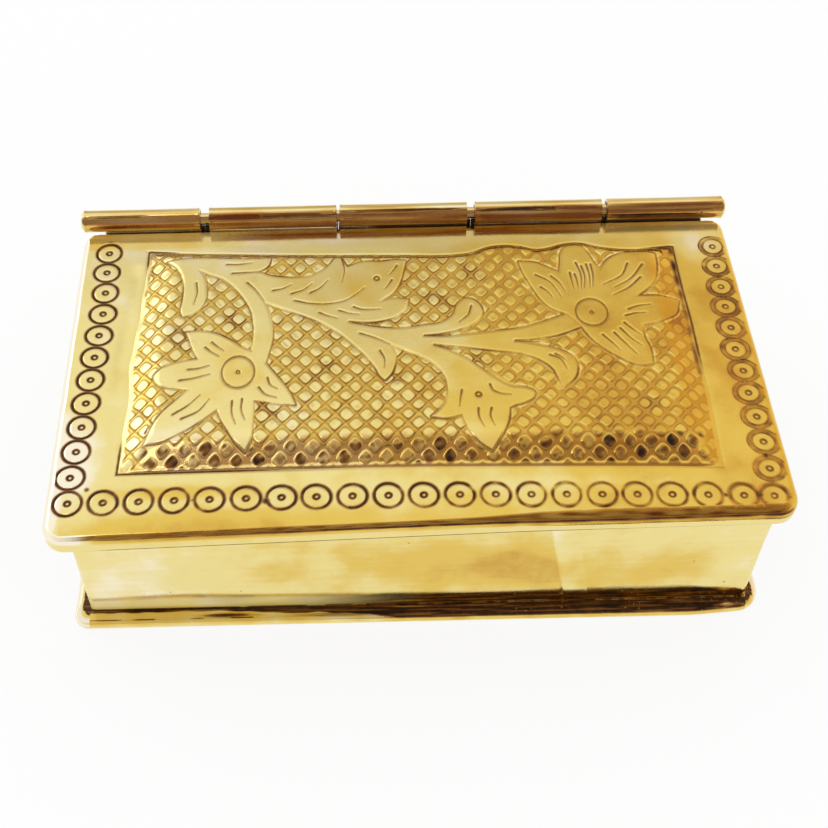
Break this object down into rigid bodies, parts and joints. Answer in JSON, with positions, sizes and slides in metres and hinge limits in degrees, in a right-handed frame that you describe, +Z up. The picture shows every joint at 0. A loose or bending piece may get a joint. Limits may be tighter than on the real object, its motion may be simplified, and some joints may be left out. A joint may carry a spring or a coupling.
{
  "type": "paan box",
  "caption": "Low rectangular brass betel box with an engraved, raised lid on a long tube hinge, a projecting foot and bays inside for leaf and fillings.",
  "frame": {"origin": "middle of the base plate's flat underside", "axes": "+X along the box's length, +Y towards the hinge, +Z up"},
  "size_m": [0.151, 0.0904, 0.0426],
  "materials": {
    "lid_brass": "polished, dark patina left in the engraving",
    "inner_brass": "dull, lightly tarnished",
    "wall_brass": "polished",
    "foot_brass": "polished edge, blackened beside the wall",
    "pin_brass": "bright drawn wire",
    "hinge_brass": "rubbed, brown streaks"
  },
  "bodies": {
    "box": {"base_plate": "foot_brass", "wall_band": "wall_brass", "partition_long": "inner_brass", "partition_left": "inner_brass", "partition_right": "inner_brass", "hinge_strap_body": "hinge_brass", "knuckle_1": "hinge_brass", "knuckle_3": "hinge_brass", "knuckle_5": "hinge_brass", "hinge_pin": "pin_brass"},
    "lid": {"lid_sheet": "lid_brass", "lid_frame": "inner_brass", "hinge_tongue_2": "hinge_brass", "hinge_tongue_4": "hinge_brass", "knuckle_2": "hinge_brass", "knuckle_4": "hinge_brass"}
  },
  "joints": [
    {"name": "lid_hinge", "type": "hinge", "parent": "box", "child": "lid", "pos_m": [0, 0.0422, 0.04], "axis": [-1, 0, 0], "range_deg": [0, 205]}
  ]
}
